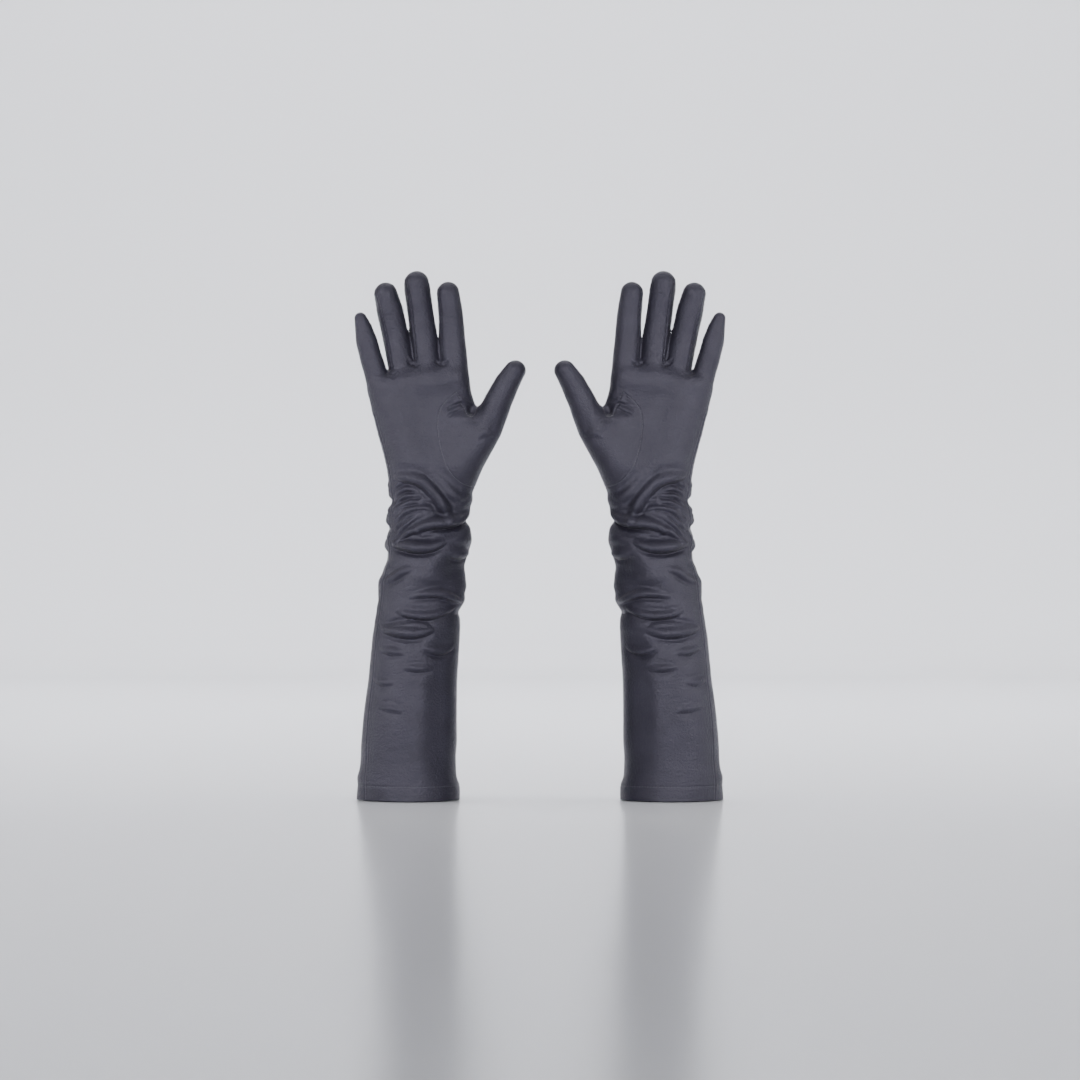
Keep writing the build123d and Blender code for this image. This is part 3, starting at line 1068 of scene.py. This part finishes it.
def elastic_material():
    """Woven elastic tape: fine ribs across a matt band."""
    n = Nodes("elastic_tape")
    ribs = n.node("ShaderNodeTexWave", Scale=260.0, Distortion=0.4, Vector=n.place)
    ribs.bands_direction = "Z"
    weave = n.noise(1500, 2)
    tone = n.ramp(ribs.outputs["Fac"], [(0.1, (0.012, 0.012, 0.014)), (0.9, (0.045, 0.045, 0.05))])
    n.join(tone, n.shader.inputs["Base Color"])
    n.shader.inputs["Roughness"].default_value = 0.75
    both = n.math("ADD", ribs.outputs["Fac"], weave)
    n.join(n.bump(both, 0.0003, 0.7), n.shader.inputs["Normal"])
    return n.material


LEATHER_FACE, LEATHER_BACK = leather_material(), inside_material()
THREAD, ELASTIC = thread_material(), elastic_material()

# Placing the pieces

SIDES = {"right": 1, "left": -1}


def placed(points, side):
    """Points of the glove's own frame, in the pair's frame and in metres."""
    out = points * (SIDES[side], 1, 1)
    out[:, 0] -= SIDES[side] * HALF_PAIR
    return out * MM


def add_piece(name, side, points, faces, materials, normals=None, slots=None):
    """One piece of one glove as a mesh object."""
    mesh = bpy.data.meshes.new(f"{side}_{name}_mesh")
    flip = SIDES[side] < 0
    rows = [tuple(int(i) for i in (reversed(f) if flip else f)) for f in faces]
    mesh.from_pydata(placed(points, side).tolist(), [], rows)
    for material in materials:
        mesh.materials.append(material)
    if slots is not None:
        mesh.polygons.foreach_set("material_index", np.asarray(slots, np.int32))
    mesh.polygons.foreach_set("use_smooth", np.ones(len(rows), bool))
    if normals is not None:
        mesh.normals_split_custom_set_from_vertices((normals * (SIDES[side], 1, 1)).tolist())
    mesh.update()
    piece = bpy.data.objects.new(f"{side}_{name}_piece", mesh)
    bpy.context.scene.collection.objects.link(piece)
    return piece


def settle(piece, side, digit, slot, *nodes):
    """Fixes a piece to its glove's hand; a digit's piece is only baked where it stands, not bent."""
    if digit is None:
        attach(piece, f"{side}_hand")
    else:
        data = DIGITS[digit]
        along = digit_axes(data)[2]
        ends = [np.array(data["root"]) + along * (data["bend"] + s * BEND_REACH[digit]) for s in (-1, 1)]
        start, end = placed(np.array(ends), side)
        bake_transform(piece)
    if nodes:
        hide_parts(*[f"{side}_{node}" for node in nodes])
    return piece


LEATHER_NODES = {"trank": ("trank",), "thumb_gusset": ("thumb_gusset",)}
for digit_name in DIGITS:
    LEATHER_NODES[digit_name] = (f"{digit_name}_stall", f"{digit_name}_bend")
    for strip_side in FOURCHETTES.get(digit_name, ()):
        strip_name = f"{digit_name}_fourchette_{SIDE_NAMES[strip_side]}"
        LEATHER_NODES[strip_name] = (strip_name,)


def digit_of(piece_name):
    first = piece_name.split("_")[0]
    return first if first in DIGITS and piece_name != "thumb_gusset" else None


def hem_band():
    """The turned-up hem: a band of leather inside the sleeve's mouth, with rounded edges."""
    count = 150
    angles = 2 * math.pi * np.arange(count) / count
    profile = [(-0.95, 0.25), (-1.25, 0.0), (-1.75, 0.15), (-2.0, 0.8),
               (-2.0, 12.4), (-1.75, 13.1), (-1.3, 13.3), (-0.95, 13.1)]
    points = []
    for away, height in profile:
        shift, width, depth = section(np.full(count, float(height)))
        ring = np.stack([shift + width * np.sin(angles), -depth * np.cos(angles), np.full(count, float(height))], 1)
        outward = unit(np.stack([np.sin(angles) / width, -np.cos(angles) / depth, np.zeros(count)], 1))
        points.append(creased(ring, outward) + away * outward)
        points[-1][:, 2] = height
    rows = len(profile)
    faces = []
    for r in range(rows):
        for i in range(count):
            a, b = r * count + i, r * count + (i + 1) % count
            c, d = (r + 1) % rows * count + (i + 1) % count, (r + 1) % rows * count + i
            faces.append((a, d, c, b))
    return np.concatenate(points), faces


def tape():
    """The elastic tape along the side seam inside the wrist, following the gathered leather."""
    heights = np.arange(206.0, 262.1, 0.8)
    spread = np.linspace(-3.3, 3.3, 7)
    layers = []
    for away in (-1.15, -1.95):
        grid = []
        for z in heights:
            shift, width, depth = section(np.full(len(spread), z))
            y = SIDE_SEAM[0] + SIDE_SEAM[1] * z + spread
            x = shift - width * np.sqrt(np.maximum(1 - (y / depth) ** 2, 0.01))
            rows = np.stack([x, y, np.full(len(spread), z)], 1)
            outward = unit(np.stack([(x - shift) / width**2, y / depth**2, np.zeros(len(spread))], 1))
            grid.append(creased(rows, outward) + away * outward)
        layers.append(np.array(grid))
    rows, columns = layers[0].shape[:2]
    points = np.concatenate([layer.reshape(-1, 3) for layer in layers])
    faces = []

    def at(layer, r, c):
        return layer * rows * columns + r * columns + c

    for r in range(rows - 1):
        for c in range(columns - 1):
            faces.append((at(0, r, c), at(0, r, c + 1), at(0, r + 1, c + 1), at(0, r + 1, c)))
            faces.append((at(1, r, c), at(1, r + 1, c), at(1, r + 1, c + 1), at(1, r, c + 1)))
        for c, turn in ((0, False), (columns - 1, True)):
            wall = (at(0, r, c), at(0, r + 1, c), at(1, r + 1, c), at(1, r, c))
            faces.append(wall[::-1] if turn else wall)
    for c in range(columns - 1):
        for r, turn in ((0, True), (rows - 1, False)):
            wall = (at(0, r, c), at(0, r, c + 1), at(1, r, c + 1), at(1, r, c))
            faces.append(wall[::-1] if not turn else wall)
    return points, faces


def make_gloves():
    smooth, moved, faces = glove_skin()
    normals = mesh_normals(moved, faces)
    labels = piece_labels(smooth, faces)
    for name in LEATHER_NODES:
        own = faces[labels == name]
        points, piece_normals, shell, slots = with_thickness(moved, normals, own, LEATHER)
        for side in SIDES:
            piece = add_piece(name, side, points, shell, [LEATHER_FACE, LEATHER_BACK], piece_normals, slots)
            settle(piece, side, digit_of(name), "leather", *LEATHER_NODES[name])
    rows = {
        "thumb_stitching": (seam_runs(smooth, faces, gusset_field), PITCH["thumb"], (0.0,)),
        "hem_stitching": (seam_runs(smooth, faces, hem_field), PITCH["hem"], (0.0,)),
        "side_stitching": (seam_runs(smooth, faces, side_field, at_side), PITCH["side"], (-0.85, 0.85)),
    }
    for name, (runs, pitch, asides) in rows.items():
        sets = [stitches(moved, normals, runs, pitch, aside) for aside in asides]
        points = np.concatenate([p for p, _ in sets])
        shift, joined = 0, []
        for p, f in sets:
            joined += [tuple(i + shift for i in face) for face in f]
            shift += len(p)
        for side in SIDES:
            settle(add_piece(name, side, points, joined, [THREAD]), side, None, "thread", name)
    for name in FOURCHETTES:
        runs = []
        for strip in FOURCHETTES[name]:
            runs += seam_runs(smooth, faces, strip_field(name, strip), past_crotch(name))
        points, rows_of_faces = stitches(moved, normals, runs, PITCH["finger"], lift=-0.1)
        for side in SIDES:
            piece = add_piece(f"{name}_seam_stitches", side, points, rows_of_faces, [THREAD])
            settle(piece, side, name, "thread")
    band, band_faces = hem_band()
    strip, strip_faces = tape()
    for side in SIDES:
        facing = add_piece("hem_facing", side, band, band_faces, [LEATHER_FACE])
        settle(facing, side, None, "leather", "hem_facing")
        elastic = add_piece("wrist_elastic", side, strip, strip_faces, [ELASTIC])
        settle(elastic, side, None, "elastic", "wrist_elastic")


# Floor, light and camera


FLOOR = -0.0008  # the floor lies just below the hems
CAMERA_DISTANCE, CAMERA_HEIGHT = 4.0, 0.2216
WIDTH_SEEN = 0.9238  # at the gloves
SENSOR = 36


def backdrop():
    """A pale floor that curves up into a wall far behind."""
    n = Nodes("pale_floor")
    n.shader.inputs["Base Color"].default_value = (0.78, 0.785, 0.82, 1)
    n.shader.inputs["Roughness"].default_value = 0.2
    n.shader.inputs["Specular IOR Level"].default_value = 0.5
    wide, near, far, tall, bend = 8.0, -5.5, 5.5, 6.0, 2.0
    line = [(near, 0.0)]
    steps = 24
    for i in range(steps + 1):
        turn = math.pi / 2 * i / steps
        line.append((far - bend + bend * math.sin(turn), bend - bend * math.cos(turn)))
    line.append((far, tall))
    points = [(x, y, z + FLOOR) for y, z in line for x in (-wide, wide)]
    faces = [(2 * i, 2 * i + 1, 2 * i + 3, 2 * i + 2) for i in range(len(line) - 1)]
    mesh = bpy.data.meshes.new("backdrop_mesh")
    mesh.from_pydata(points, [], faces)
    mesh.materials.append(n.material)
    mesh.polygons.foreach_set("use_smooth", np.ones(len(faces), bool))
    stage = bpy.data.objects.new("backdrop", mesh)
    bpy.context.scene.collection.objects.link(stage)


def area_light(name, place, target, size, power, tint=(1, 1, 1)):
    data = bpy.data.lights.new(name, "AREA")
    data.shape = "RECTANGLE"
    data.size, data.size_y = size
    data.energy = power
    data.color = tint
    light = bpy.data.objects.new(name, data)
    bpy.context.scene.collection.objects.link(light)
    light.location = place
    light.rotation_euler = (Vector(target) - Vector(place)).to_track_quat("-Z", "Y").to_euler()
    return light


def light_and_camera():
    world = bpy.data.worlds.new("studio")
    world.use_nodes = True
    world.node_tree.nodes["Background"].inputs["Color"].default_value = (0.93, 0.94, 1.0, 1)
    world.node_tree.nodes["Background"].inputs["Strength"].default_value = 0.1
    bpy.context.scene.world = world
    for side, sign in SIDES.items():
        own = bpy.data.collections.new(f"{side}_glove_light")
        for piece in bpy.data.objects:
            if piece.name.startswith(side) and piece.name.endswith("_piece"):
                own.objects.link(piece)
        middle, out = -sign * HALF_PAIR * MM, -sign
        key = area_light(f"{side}_key", (middle + out * 1.15, -1.5, 0.8), (middle, 0, 0.22), (1.0, 0.85), 35)
        front = area_light(f"{side}_front", (middle - out * 0.66, -1.75, 0.72), (middle, 0, 0.2), (0.4, 1.0), 29)
        for light in (key, front):
            light.light_linking.receiver_collection = own
        area_light(f"{side}_edge_light", (out * 1.7, 0.15, 0.35), (out * 0.1, 0, 0.25), (0.5, 1.3), 10)
    gloves, others = bpy.data.collections.new("both_gloves"), bpy.data.collections.new("surroundings")
    for obj in bpy.data.objects:
        if obj.type == "MESH":
            (gloves if obj.name.endswith("_piece") else others).objects.link(obj)
    for name, lit, power in (("overhead_softbox", others, 97), ("overhead_fill", gloves, 42)):
        softbox = area_light(name, (0, 0.3, 2.7), (0, 0.3, 0), (3.4, 2.0), power, (0.985, 0.99, 1.0))
        softbox.light_linking.receiver_collection = lit
    area_light("backdrop_light", (0, 1.6, 3.2), (0, 5.0, 1.0), (5.0, 1.6), 395, (0.975, 0.98, 1.0))
    camera_data = bpy.data.cameras.new("camera")
    camera = bpy.data.objects.new("camera", camera_data)
    bpy.context.scene.collection.objects.link(camera)
    camera.location = (0, -CAMERA_DISTANCE, CAMERA_HEIGHT)
    camera.rotation_euler = (math.radians(90), 0, 0)
    camera_data.sensor_width = SENSOR
    camera_data.lens = SENSOR * CAMERA_DISTANCE / WIDTH_SEEN
    camera_data.clip_end = 60
    bpy.context.scene.camera = camera


make_gloves()
backdrop()
light_and_camera()
